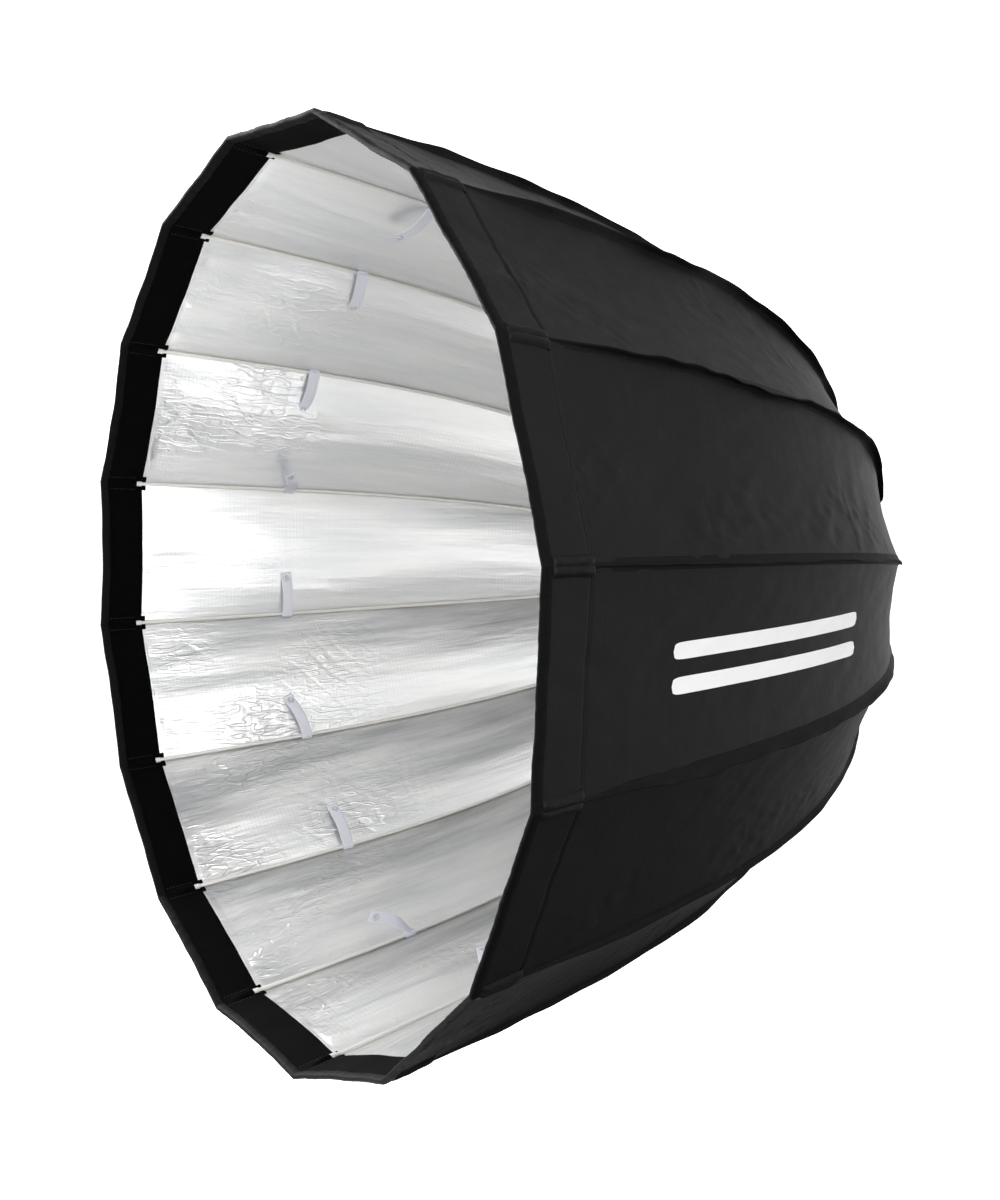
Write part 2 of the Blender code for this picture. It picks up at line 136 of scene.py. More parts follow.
def noise(x, y, seed):
    """Smooth noise from about -1 to 1. One unit of x or y is one lump."""
    turn = np.random.default_rng(seed).uniform(0, 2 * math.pi, (LATTICE, LATTICE))
    column, row = np.floor(x).astype(int), np.floor(y).astype(int)
    x, y = x - column, y - row
    ease_x, ease_y = x * x * (3 - 2 * x), y * y * (3 - 2 * y)
    total = 0.0
    for dx in (0, 1):
        for dy in (0, 1):
            angle = turn[(column + dx) % LATTICE, (row + dy) % LATTICE]
            slope = np.cos(angle) * (x - dx) + np.sin(angle) * (y - dy)
            total = total + slope * (ease_x if dx else 1 - ease_x) * (ease_y if dy else 1 - ease_y)
    return 1.5 * total


def ridges(x, y, seed):
    """Narrow crooked ridges, 1 on their crests and 0 between them."""
    return np.clip(1 - 4.5 * np.abs(noise(x, y, seed)), 0.0, 1.0) ** 1.3


def smooth(x, low, high):
    """0 below low and 1 above high, with an easy slope between them."""
    x = np.clip((x - low) / (high - low), 0.0, 1.0)
    return x * x * (3 - 2 * x)


# ---- where things lie on a gore and on a rib ----
def paired(u, v):
    return np.stack(np.broadcast_arrays(u, v), axis=-1)


def unit(vectors):
    return vectors / np.linalg.norm(vectors, axis=-1, keepdims=True)


def round_axis(side, out, y, angle):
    """Points out from the optical axis in the direction of angle, and to the side of it."""
    return np.stack([
        side * math.cos(angle) - out * math.sin(angle), y,
        side * math.sin(angle) + out * math.cos(angle),
    ], axis=-1)


def rim_shift(number, share, across):
    """How far the cloth is drawn back from the straight rim line, in metres along the gore."""
    dip = 0.0014 + 0.0012 * math.sin(5.1 * number + 0.7)
    wave = 0.0010 * noise(across * 2.5 + 9.0, np.zeros_like(across), 40 + number)
    depth = dip * (1 - across**2) + wave * (1 - across**4)
    return depth * np.clip(1 - share / 0.22, 0.0, 1.0) ** 2


def gore_sag(number, share, across):
    """How far a gore bows inwards, in metres."""
    swell = smooth(share, -0.02, 0.20) * (1 - smooth(share, 0.75, 0.97))
    bow = SAG * (0.10 + 0.90 * swell) * (1 - across**2)
    flutter = 0.0016 * noise(across * 1.8 + 3.0, share * 9.0, 70 + number)
    return bow + flutter * (1 - across**2) * np.clip(1 - share / 0.18, 0.0, 1.0)


def gore_points(number, share, across, inset):
    """Points of gore N: across is 1 at rib N and -1 at rib N + 1, inset is measured inwards."""
    share, across, inset = np.broadcast_arrays(share, across, inset)
    share = share.astype(float)
    share = share + rim_shift(number, share, across) / RIB_LENGTH
    radius, y, lean = curve(share)
    out, back = np.cos(lean), np.sin(lean) * math.cos(HALF)
    size = np.hypot(out, back)
    inward = inset + gore_sag(number, share, across)
    middle = radius * math.cos(HALF) - inward * out / size
    y = y - inward * back / size
    return round_axis(middle * math.tan(HALF) * across, middle, y, gore_angle(number))


def rib_points(number, share, side, inset):
    """Points beside rib N on the fold between two gores. side is in metres, + towards rib N - 1."""
    share, side, inset = np.broadcast_arrays(share, side, inset)
    radius, y, lean = curve(share)
    out = radius - inset * np.cos(lean) - np.abs(side) * math.tan(HALF)
    return round_axis(side, out, y - inset * np.sin(lean), rib_angle(number))


def keep_at(share):
    """How much of its width a gore keeps there when the ribs are folded."""
    radius, y, _ = curve(share)
    folded = (
        HINGE_RADIUS + (radius - HINGE_RADIUS) * math.cos(FOLD_ANGLE)
        - (HINGE_Y - y) * math.sin(FOLD_ANGLE)
    )
    return folded / radius


def zones(count):
    """(first share, last share, share of its width kept) of each zone, in equal steps of keep."""
    shares = np.linspace(0.0, CLOTH_END_SHARE, 600)
    keeps = keep_at(shares)
    edges = np.interp(np.linspace(keeps[0], keeps[-1], count + 1), keeps, shares)
    return [(a, b, float(keep_at((a + b) / 2))) for a, b in zip(edges, edges[1:])]


ZONES = zones(ZONE_COUNT)


# ---- building meshes ----
def grid_normals(points, outward):
    """Unit normals of a grid of points, pointing out of the softbox or into it."""
    along = np.gradient(points, axis=0)
    side = np.gradient(points, axis=1)
    normal = np.cross(along, side)
    normal /= np.maximum(np.linalg.norm(normal, axis=-1, keepdims=True), 1e-12)
    axis_to_point = points * [1, 0, 1]
    facing = np.sign((normal * axis_to_point).sum(-1).mean())
    return normal * (facing if outward else -facing)


def grid_mesh(name, points, uv, normals=None, closed=False):
    """A mesh of quads over a grid of points. closed joins the last column to the first."""
    rows, columns = points.shape[:2]
    index = np.arange(rows * columns).reshape(rows, columns)
    if closed:
        index = np.concatenate([index, index[:, :1]], axis=1)
    corners = np.stack(
        [index[:-1, :-1], index[:-1, 1:], index[1:, 1:], index[1:, :-1]], axis=-1
    ).reshape(-1, 4)
    flat = points.reshape(-1, 3)
    if normals is not None:
        a, b, c = (flat[corners[:, k]] for k in (0, 1, 2))
        facing = (np.cross(b - a, c - a) * normals.reshape(-1, 3)[corners[:, 0]]).sum()
        if facing < 0:
            corners = corners[:, ::-1]
    mesh = bpy.data.meshes.new(name)
    mesh.from_pydata(flat.tolist(), [], corners.tolist())
    layer = mesh.uv_layers.new(name="UVMap")
    loops = np.zeros(len(mesh.loops), np.int32)
    mesh.loops.foreach_get("vertex_index", loops)
    layer.data.foreach_set("uv", uv.reshape(-1, 2)[loops].astype(np.float32).ravel())
    mesh.shade_smooth()
    if normals is not None:
        mesh.normals_split_custom_set_from_vertices(normals.reshape(-1, 3).tolist())
    return mesh


def add_object(name, data):
    made = bpy.data.objects.new(name, data)
    bpy.context.scene.collection.objects.link(made)
    return made


def piece(name, mesh, surface, body):
    """A visible piece that moves with that body and has that material in its slot."""
    made = add_object(name, mesh)
    mesh.materials.append(surface)
    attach(made, body)
    return made


def narrow(made):
    """Gives the piece a mesh of its own; nothing here narrows it as the ribs fold."""
    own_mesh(made)


# ---- materials ----
def new_material(name, colour, roughness, metallic=0.0, specular=0.5):
    made = bpy.data.materials.new(name)
    made.use_nodes = True
    shader = made.node_tree.nodes["Principled BSDF"]
    shader.inputs["Base Color"].default_value = (*colour, 1)
    shader.inputs["Roughness"].default_value = roughness
    shader.inputs["Metallic"].default_value = metallic
    shader.inputs["Specular IOR Level"].default_value = specular
    return made, made.node_tree, shader


def node(tree, kind, inputs=None, **settings):
    """A shader node. An input is a number, a colour, or another node's output to link."""
    made = tree.nodes.new(kind)
    for key, value in settings.items():
        setattr(made, key, value)
    for key, value in (inputs or {}).items():
        if isinstance(value, bpy.types.NodeSocket):
            tree.links.new(value, made.inputs[key])
        else:
            made.inputs[key].default_value = value
    return made


def mixed_colour(tree, share, first, second):
    """A colour that goes from first to second with share. Both are outputs of nodes, or RGBA."""
    return node(tree, "ShaderNodeMix", {0: share, 6: first, 7: second}, data_type="RGBA").outputs[2]


def tones(tree, share, first, second):
    """A colour that goes from one RGB to another with share."""
    return mixed_colour(tree, share, (*first, 1), (*second, 1))


def maths(tree, operation, *values):
    return node(tree, "ShaderNodeMath", dict(enumerate(values)), operation=operation).outputs[0]


def rescale(tree, value, low=0.0, high=1.0, to_low=0.0, to_high=1.0):
    """The value, taken from the range low to high into the range to_low to to_high."""
    return node(tree, "ShaderNodeMapRange", {
        "Value": value, "From Min": low, "From Max": high, "To Min": to_low, "To Max": to_high,
    }).outputs[0]


def stretched(tree, place, scale_x, scale_y, turn=0.0):
    """The place, scaled along each side and then turned, which picks another part of a noise."""
    return node(tree, "ShaderNodeMapping", {
        "Vector": place, "Rotation": (0.0, 0.0, turn), "Scale": (scale_x, scale_y, 1.0),
    }).outputs[0]


def mesh_value(tree, name):
    """A number that the mesh carries at each point."""
    return node(
        tree, "ShaderNodeAttribute", attribute_name=name, attribute_type="GEOMETRY"
    ).outputs["Fac"]


def lumps(tree, place, scale, detail=3.0, rough=0.55, distortion=0.0):
    return node(tree, "ShaderNodeTexNoise", {
        "Vector": place, "Scale": scale, "Detail": detail, "Roughness": rough,
        "Distortion": distortion,
    }).outputs[0]


def bands(tree, place, period, direction):
    """A wave from 0 to 1 with that period in metres."""
    return node(
        tree, "ShaderNodeTexWave", {"Vector": place, "Scale": 2 * math.pi / 20 / period},
        wave_type="BANDS", bands_direction=direction, wave_profile="SIN",
    ).outputs["Fac"]


def crooked_lines(tree, place, turn, stretch, scale, width):
    """Lines drawn out down the cloth: 1 where a noise crosses a half, 0 that far from it."""
    value = lumps(tree, stretched(tree, place, 1.0, stretch, turn), scale, 1.0, 0.5, 0.25)
    off = maths(tree, "ABSOLUTE", maths(tree, "SUBTRACT", value, 0.5))
    return rescale(tree, off, 0.0, width, 1.0, 0.0)


def thin_lines(tree, place, period, share):
    """1 on a grid of thin lines that far apart, 0 between them."""
    return maths(tree, "MAXIMUM", *(
        rescale(tree, bands(tree, place, period, direction), 1 - share) for direction in "XY"
    ))


def weave(tree, place, period_x, period_y):
    """Threads that cross at right angles."""
    return maths(
        tree, "MULTIPLY", bands(tree, place, period_x, "X"), bands(tree, place, period_y, "Y")
    )


def paint(tree, shader, share, first, second):
    tree.links.new(tones(tree, share, first, second), shader.inputs["Base Color"])


def roughen(tree, shader, share, low, high):
    tree.links.new(rescale(tree, share, to_low=low, to_high=high), shader.inputs["Roughness"])


def bump(tree, shader, height, distance, strength):
    """Adds a bump over any that the shader has already."""
    made = node(tree, "ShaderNodeBump", {
        "Height": height, "Distance": distance, "Strength": strength,
    })
    if shader.inputs["Normal"].links:
        tree.links.new(shader.inputs["Normal"].links[0].from_socket, made.inputs["Normal"])
    tree.links.new(made.outputs[0], shader.inputs["Normal"])


def metres(tree):
    """Where a point is on the cloth: the pieces' UV maps are in metres."""
    return node(tree, "ShaderNodeUVMap", uv_map="UVMap").outputs[0]


def in_object(tree):
    return node(tree, "ShaderNodeTexCoord").outputs["Object"]


def shell_material():
    """Close-woven black nylon with a faint ripstop grid."""
    made, tree, shader = new_material("black_nylon", (0.005, 0.005, 0.006), 0.5, 0.0, 0.17)
    place = metres(tree)
    patches = lumps(tree, in_object(tree), 7.0, 2.0)
    paint(tree, shader, patches, (0.0038, 0.0037, 0.0041), (0.0068, 0.0066, 0.0072))
    roughen(tree, shader, lumps(tree, place, 60.0, 4.0), 0.44, 0.60)
    bump(tree, shader, thin_lines(tree, place, 0.0050, 0.10), 0.00005, 0.5)
    bump(tree, shader, weave(tree, place, 0.0009, 0.0009), 0.00004, 0.5)
    bump(tree, shader, lumps(tree, place, 45.0, 4.0, 0.6, 0.6), 0.0009, 0.35)
    return made


def lining_material():
    """Silver foil cloth: a soft mirror, creased and with painted shade where the mesh says so."""
    made, tree, shader = new_material("silver_lining", (0.84, 0.84, 0.83), 0.27, 0.90, 0.5)
    place = metres(tree)
    smears = lumps(tree, stretched(tree, place, 36.0, 4.0, 0.13), 1.0, 4.0, 0.6)
    patches = rescale(tree, smears, 0.36, 0.62)
    # Painted shade: the darker tone below is mixed in by the mesh's painted shade amount.
    unshaded_tone = tones(tree, patches, (0.87, 0.88, 0.885), (0.95, 0.945, 0.935))
    shaded_tone = tones(tree, patches, (0.50, 0.51, 0.52), (0.84, 0.835, 0.83))
    painted_shade = mesh_value(tree, "painted_shade")
    tree.links.new(mixed_colour(tree, painted_shade, unshaded_tone, shaded_tone), shader.inputs["Base Color"])
    # Above 0.275 throughout: below that the denoiser takes the foil for a mirror and blotches it.
    roughen(tree, shader, lumps(tree, place, 30.0), 0.278, 0.32)
    bump(tree, shader, thin_lines(tree, place, 0.0048, 0.14), 0.00008, 0.6)
    streaks = lumps(tree, stretched(tree, place, 110.0, 9.0), 1.0, 3.0, 0.5)
    bump(tree, shader, streaks, 0.0016, 0.30)
    depth = rescale(tree, painted_shade, to_low=0.35, to_high=1.1)
    bump(tree, shader, maths(tree, "MULTIPLY", smears, depth), 0.0050, 0.55)
    creases = maths(
        tree, "ADD", crooked_lines(tree, place, 0.7, 0.22, 75.0, 0.035),
        crooked_lines(tree, place, -0.5, 0.26, 110.0, 0.050),
    )
    bump(tree, shader, maths(tree, "MULTIPLY", creases, mesh_value(tree, "creased")), 0.0007, 0.85)
    return made


def velvet_material():
    """The loop tape of the border, which takes a diffuser's hooks."""
    made, tree, shader = new_material("velvet_border", (0.0012, 0.0012, 0.0013), 0.95, 0.0, 0.06)
    place = metres(tree)
    pile = lumps(tree, place, 900.0, 2.0)
    paint(tree, shader, pile, (0.0007, 0.0007, 0.0008), (0.0022, 0.0022, 0.0024))
    bump(tree, shader, lumps(tree, place, 1400.0, 2.0), 0.0006, 0.5)
    bump(tree, shader, lumps(tree, place, 60.0, 2.0), 0.0006, 0.3)
    return made


def tape_material(name, dark, light):
    """Twilled tape, for the binding and the seams."""
    made, tree, shader = new_material(name, dark, 0.65, 0.0, 0.09)
    place = metres(tree)
    paint(tree, shader, lumps(tree, place, 120.0), dark, light)
    bump(tree, shader, bands(tree, place, 0.0014, "DIAGONAL"), 0.00010, 0.6)
    bump(tree, shader, lumps(tree, place, 130.0), 0.0008, 0.35)
    return made


def webbing_material():
    """White nylon webbing."""
    made, tree, shader = new_material("white_webbing", (0.80, 0.81, 0.88), 0.6, 0.0, 0.3)
    threads = weave(tree, metres(tree), 0.0011, 0.0016)
    paint(tree, shader, threads, (0.84, 0.85, 0.93), (0.94, 0.95, 1.0))
    bump(tree, shader, threads, 0.00010, 0.4)
    return made


def plain_material(name, first, second, roughness, metallic=0.0, grain=400.0):
    """A surface with two close tones, an uneven roughness and a fine grain."""
    made, tree, shader = new_material(name, first, roughness, metallic)
    place = in_object(tree)
    paint(tree, shader, lumps(tree, place, grain / 8), first, second)
    patches = lumps(tree, place, grain / 3)
    roughen(tree, shader, patches, roughness * 0.85, roughness * 1.2)
    bump(tree, shader, lumps(tree, place, grain), 0.0002, 0.35)
    return made


NYLON = shell_material()
SILVER = lining_material()
VELVET = velvet_material()
BINDING = tape_material("binding_tape", (0.0022, 0.0022, 0.0025), (0.0042, 0.0042, 0.0046))
WELT = tape_material("seam_tape", (0.0040, 0.0040, 0.0045), (0.0080, 0.0080, 0.0086))
WEBBING = webbing_material()
POCKET_THREAD = plain_material("pocket_thread", (0.010, 0.010, 0.011), (0.018, 0.018, 0.020), 0.6)
THREAD = plain_material("black_thread", (0.003, 0.003, 0.003), (0.007, 0.007, 0.008), 0.6)
PRINT = plain_material("white_print", (0.92, 0.92, 0.92), (0.97, 0.97, 0.97), 0.5, grain=900.0)
CAST = plain_material("cast_black", (0.018, 0.018, 0.020), (0.032, 0.032, 0.034), 0.42, 0.5)
STEEL = plain_material("bright_steel", (0.55, 0.55, 0.54), (0.68, 0.68, 0.66), 0.28, 1.0)
SOCKET = plain_material("socket_alloy", (0.34, 0.35, 0.36), (0.46, 0.47, 0.48), 0.38, 1.0)
ROD = plain_material("glass_fibre", (0.87, 0.86, 0.81), (0.94, 0.93, 0.90), 0.34, grain=200.0)
KNOB = plain_material("knob_plastic", (0.020, 0.020, 0.021), (0.032, 0.032, 0.033), 0.5)
STUD = plain_material("snap_stud", (0.62, 0.63, 0.66), (0.74, 0.75, 0.78), 0.30, 0.7)


# ---- the black shell and the silver lining ----
# How far apart each layer's rows are, how far from the rim its finer rows go, and its columns.
SHELL_GRID = (0.0065, 0.0, 28)
LINING_GRID = (0.0040, 0.38, 64)
FINER = 0.55  # the spacing of the finer rows, as a share
HEM_REACH = 0.008  # closest together within this of the hem line
HEM_SPACING = 0.0014


def row_shares(spacing, fine_until, extra):
    """Rows down a gore, closer together by the rim and the hem line, with the extra ones."""
    shares = [0.0]
    while shares[-1] < CLOTH_END_SHARE - 1e-6:
        here = shares[-1] * RIB_LENGTH
        near_hem = abs(here - HEM_LINE) < HEM_REACH
        step = HEM_SPACING if near_hem else spacing * (FINER if here < fine_until else 1.0)
        shares.append(min(CLOTH_END_SHARE, shares[-1] + step / RIB_LENGTH))
    # Rows that are almost on an exact one give way to it.
    shares = [s for s in shares if all(abs(s - e) > 0.25 * spacing / RIB_LENGTH for e in extra)]
    return np.array(sorted([*shares, *extra]))


def side_of_middle(share, across):
    """How far to the side of its gore's middle a point is, in metres."""
    return across * curve(share)[0] * math.sin(HALF)


def shell_relief(number, share, across):
    """The shell's creases, as an inset in metres."""
    down = share * RIB_LENGTH
    side = side_of_middle(share, across)
    # Slanting creases and wrinkles all over, and puckers along the hem's stitches.
    lean_lines = noise(side / 0.030 + down / 0.060, down / 0.085 - side / 0.12, 200 + number)
    fine = noise(side / 0.016 + 5.0, down / 0.030, 230 + number)
    tilt = side * 0.5 + down
    where = smooth(noise(side / 0.09 + 2.0, down / 0.13, 215 + number), -0.1, 0.5)
    wrinkles = ridges(tilt / 0.030, (down - 2 * side) / 0.13, 245 + number)
    wrinkles = wrinkles + 0.6 * ridges(tilt / 0.017 + 4.0, (down - 2 * side) / 0.08, 250 + number)
    calm = 0.15 if number == PRINT_GORE else 1.0
    creases = 0.00075 * np.abs(lean_lines) + 0.00018 * fine - 0.0010 * calm * wrinkles * where
    near_hem = np.exp(-((down - HEM_LINE) / 0.018) ** 2)
    puckers = 0.00060 * near_hem * noise(side / 0.011, down / 0.040, 260 + number)
    stitch_groove = 0.0016 * np.exp(-((down - HEM_LINE) / 0.0013) ** 2)
    at_seam = 1 - across**8
    return (creases + puckers) * at_seam * smooth(down, 0.008, 0.03) + stitch_groove


# The lining's creases, as (spacing, height), from the widest.
CREASE_SIZES = ((0.044, 0.0009), (0.026, 0.0007), (0.015, 0.0004))


def lining_relief(number, share, across):
    """(inset, how creased, how much painted shade) of the lining."""
    down = share * RIB_LENGTH
    side = side_of_middle(share, across)
    past_border = smooth(down, BORDER_DEPTH + 0.002, BORDER_DEPTH + 0.012)
    at_seam = 1 - across**6
    # Foil creases, in patches towards the rim.
    patch = noise(side / 0.09 + 3.1 * number, down / 0.12, 300 + number)
    reach = 1 - smooth(share, 0.22, 0.50)
    amount = CREASED[number - 1]
    creased = smooth(patch, 0.1 - 0.7 * amount, 0.9 - 0.7 * amount) * reach * past_border * amount
    bend_x = side + 0.005 * noise(side / 0.05, down / 0.05, 330 + number)
    bend_y = down + 0.007 * noise(side / 0.06 + 7, down / 0.06, 360 + number)
    lines = 0.0
    for level, (size, height) in enumerate(CREASE_SIZES):
        turned = bend_x * math.cos(level + number) + bend_y * math.sin(level + number)
        crossed = bend_y * math.cos(level + number) - bend_x * math.sin(level + number)
        seed = 400 + 20 * level + number
        lines = lines - height * ridges(turned / size, crossed / (4.5 * size), seed)
    # Folds and rolls down the gore.
    long_folds = 0.00040 * noise(side / 0.016 + down / 0.40, down / 0.30, 500 + number)
    long_folds = long_folds + 0.00050 * ridges(side / 0.045, down / 0.35, 560 + number) * reach
    broad = 0.0011 * noise(side / 0.07, down / 0.20, 530 + number)
    slanting = 0.0005 + 0.0010 * PAINTED_SHADE[number - 1]
    broad = broad + slanting * noise((side - 0.15 * down) / 0.036, down / 0.35, 545 + number)
    relief = (lines * creased + long_folds + broad) * past_border
    slack = LINING_SLACK * (1 - across**2) * smooth(down, BORDER_DEPTH, BORDER_DEPTH + 0.16)
    # Painted shade: the lining's colour is darkened on the side towards rib N and in the creases.
    high_side = smooth(across + 0.5 * noise(side / 0.08, down / 0.25, 620 + number), -0.9, 0.7)
    painted_shade = PAINTED_SHADE[number - 1] * np.maximum(high_side, 0.8 * creased)
    # Wherever that leaves too little room for the shell's creases, the lining gives way.
    inset = LINING_INSET + slack + relief * at_seam
    short = np.maximum(shell_relief(number, share, across) + LAYER_GAP - inset, 0.0)
    inset = inset + short * smooth(down, BORDER_DEPTH - 0.002, BORDER_DEPTH)
    return inset, creased, painted_shade


def gore_grid(spacing, fine_until, columns):
    """The rows down a gore and the columns across it that a layer has a point at."""
    shares = row_shares(spacing, fine_until, [zone[0] for zone in ZONES] + [CLOTH_END_SHARE])
    return shares[:, None], np.linspace(-1.0, 1.0, columns + 1)[None, :]


def cut_gore(kind, number, rows, across, inset, marks, surface, outward):
    """One layer of a gore, cut across into zones. marks are what mesh_value reads, by name."""
    points = gore_points(number, rows, across, inset)
    flat_points = gore_points(number, rows, across, 0.0)
    normals = grid_normals(points, outward)
    side = side_of_middle(rows, across)
    uv = paired(side + UV_SHIFT * number, rows * RIB_LENGTH)
    for index, (first, last, keep) in enumerate(ZONES):
        inside = (rows[:, 0] >= first - 1e-9) & (rows[:, 0] <= last + 1e-9)
        name = f"{kind}_{number:02d}_zone_{index + 1:02d}"
        mesh = grid_mesh(name, points[inside], uv[inside], normals[inside])
        for mark, amount in marks.items():
            amount = np.broadcast_to(amount, points.shape[:2])[inside]
            mesh.attributes.new(mark, "FLOAT", "POINT").data.foreach_set(
                "value", amount.astype(np.float32).ravel()
            )
        made = piece(name, mesh, surface, f"panel_{number:02d}")
        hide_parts(f"canopy_panel_{number:02d}")
        narrow(made)


def cloth():
    for number in range(1, RIB_COUNT + 1):
        rows, across = gore_grid(*SHELL_GRID)
        cut_gore(
            "shell", number, rows, across, shell_relief(number, rows, across), {},
            NYLON, True,
        )
        rows, across = gore_grid(*LINING_GRID)
        inset, creased, painted_shade = lining_relief(number, rows, across)
        cut_gore(
            "lining", number, rows, across, inset, {"creased": creased, "painted_shade": painted_shade},
            SILVER, False,
        )


def swept_band(name, number, profile, columns, ripple, surface):
    """A band along the rim. profile lists (distance behind the rim, inset) across the band."""
    across = np.linspace(-1.0, 1.0, columns + 1)[None, :]
    profile = np.array(profile)
    distance, inset = profile[:, :1], profile[:, 1:]
    side = across * RIM_RADIUS * math.sin(HALF)
    wobble = ripple * noise(side / 0.007 + 3, distance / 0.012, 600 + number) * (1 - across**8)
    points = gore_points(number, at_distance(distance), across, inset + wobble)
    steps = np.hypot(*np.diff(profile, axis=0).T)
    along = np.concatenate([[0.0], np.cumsum(steps)])[:, None]
    uv = paired(side + UV_SHIFT * number, along)
    made = piece(name, grid_mesh(name, points, uv), surface, f"panel_{number:02d}")
    return made, points


def rim_bands():
    """The tape that binds the rim, and the velvet border inside it."""
    arc = [
        (0.0, -0.0008), (-0.0009, -0.0002), (-0.0013, 0.0012), (-0.0009, 0.0028), (0.0, 0.0037),
    ]
    binding = [
        (BINDING_DEPTH, -0.0001), (BINDING_DEPTH - 0.0004, -0.0008), (0.0070, -0.0011),
        (0.0030, -0.0011), *arc, (0.0030, 0.0043), (0.0060, 0.0043),
        (BINDING_DEPTH - 0.0004, 0.0041), (BINDING_DEPTH, 0.0033),
    ]
    stops = np.linspace(0.0072, BORDER_DEPTH - 0.0012, 12)
    border = [(0.0060, 0.0030), *[(d, 0.0034) for d in stops],
              (BORDER_DEPTH - 0.0003, 0.0031), (BORDER_DEPTH, 0.0017)]
    for number in range(1, RIB_COUNT + 1):
        made, _ = swept_band(
            f"binding_{number:02d}", number, binding, 120, 0.00045, BINDING
        )
        narrow(made)
        made, points = swept_band(
            f"velvet_border_{number:02d}", number, border, 60, 0.00015, VELVET
        )
        narrow(made)


# ---- stitches ----
STITCH = 0.0024
STITCH_GAP = 0.0011
STITCH_WIDTH = 0.00045


def stitch_mesh(name, line, out):
    """A row of stitches along a line of points. out gives the surface's normal at each point."""
    lengths = np.linalg.norm(np.diff(line, axis=0), axis=1)
    along = np.concatenate([[0.0], np.cumsum(lengths)])
    count = max(1, int(along[-1] / (STITCH + STITCH_GAP)))
    centres = (np.arange(count) + 0.5) * along[-1] / count
    stops = centres[:, None] + STITCH * np.array([-0.5, -0.3, 0.3, 0.5])[None, :]
    place = np.stack([np.interp(stops, along, line[:, k]) for k in range(3)], axis=-1)
    up = np.stack([np.interp(stops, along, out[:, k]) for k in range(3)], axis=-1)
    side = np.cross(unit(place[:, 3:] - place[:, :1]), up)
    high = np.array([0.1, 1.0, 1.0, 0.1])[None, :, None] * STITCH_WIDTH
    wide = np.array([0.55, 1.0, 1.0, 0.55])[None, :, None] * STITCH_WIDTH
    rows = np.stack([
        place - side * wide * 0.6 - up * 0.0001, place - side * wide * 0.35 + up * high * 0.6,
        place + side * wide * 0.35 + up * high * 0.6, place + side * wide * 0.6 - up * 0.0001,
    ], axis=2)
    points = rows.reshape(-1, 3)
    base = np.arange(count)[:, None, None] * 16
    first = np.arange(3)[None, :, None] * 4 + np.arange(3)[None, None, :]
    corner = base + first
    faces = np.stack([corner, corner + 1, corner + 5, corner + 4], axis=-1).reshape(-1, 4)
    mesh = bpy.data.meshes.new(name)
    mesh.from_pydata(points.tolist(), [], faces.tolist())
    mesh.uv_layers.new(name="UVMap")
    mesh.shade_smooth()
    return mesh


def hem_stitches():
    """The row of stitches that shows on the outside, where border and shell are sewn together."""
    across = np.linspace(-0.985, 0.985, 60)
    for number in range(1, RIB_COUNT + 1):
        share = at_distance(HEM_LINE)
        inset = shell_relief(number, np.full_like(across, share), across)
        line = gore_points(number, share, across, inset)
        out = unit(gore_points(number, share, across, inset - 0.01) - line)
        name = f"hem_stitches_{number:02d}"
        made = piece(name, stitch_mesh(name, line, out), THREAD, f"panel_{number:02d}")
        narrow(made)


# ---- seams, which ride the ribs ----
def rib_strip(name, number, shares, sides, inset, surface):
    """A strip along a rib. sides and inset may change along it."""
    shares = np.asarray(shares)[:, None]
    sides, inset = np.broadcast_arrays(sides, inset)
    points = rib_points(number, shares, sides, inset)
    uv = paired(sides + UV_SHIFT * number, shares * RIB_LENGTH)
    piece(name, grid_mesh(name, points, uv), surface, f"rib_{number:02d}")


# The seam in section, as (to the side in metres, height as a share of the seam's).
SEAM_SECTION = np.array([
    (-0.0052, -0.06), (-0.0034, 0.02), (-0.0022, 0.10), (-0.0014, 0.34), (-0.0011, 0.72),
    (-0.0007, 0.96), (0.0, 1.02), (0.0007, 0.96), (0.0011, 0.72), (0.0014, 0.34), (0.0022, 0.10),
    (0.0034, 0.02), (0.0052, -0.06),
])
LEAST_SEAM = 0.0013  # the seam's height at both ends


def seams():
    """The raised seam over each rib, where the two gores' edges stand up as a wavy fin."""
    shares = np.linspace(at_distance(0.012), CLOTH_END_SHARE, 240)
    down = shares[:, None] * RIB_LENGTH
    full = smooth(down, 0.046, 0.15) * (1 - smooth(shares[:, None], 0.84, 0.97))
    for number in range(1, RIB_COUNT + 1):
        flat = np.full_like(down, 0.5)
        crown = SEAM_HEIGHT[number - 1] - LEAST_SEAM
        height = LEAST_SEAM + full * crown * (1 + 0.3 * noise(down / 0.045, flat, 730 + number))
        downhill = -0.75 * math.sin(rib_angle(number))
        leaning = (downhill + 0.7 * noise(down / 0.11, flat, 700 + number)) * full
        leaning = leaning + 0.35 * noise(down / 0.028, flat, 715 + number) * full
        sides = SEAM_SECTION[:, 0] + leaning * height * SEAM_SECTION[:, 1]
        rib_strip(
            f"seam_{number:02d}", number, shares, sides, 0.0003 - height * SEAM_SECTION[:, 1], WELT,
        )


COVER_START = 0.0080  # of the tip covers, from the rim
COVER_END = 0.0515
COVER_HALF = 0.0082
POCKET_MOUTH = 0.0412
POCKET_HALF = 0.0084
POCKET_SEAM = 0.0070  # where each pocket is sewn down, from its middle
POCKET_STITCH = 0.0071


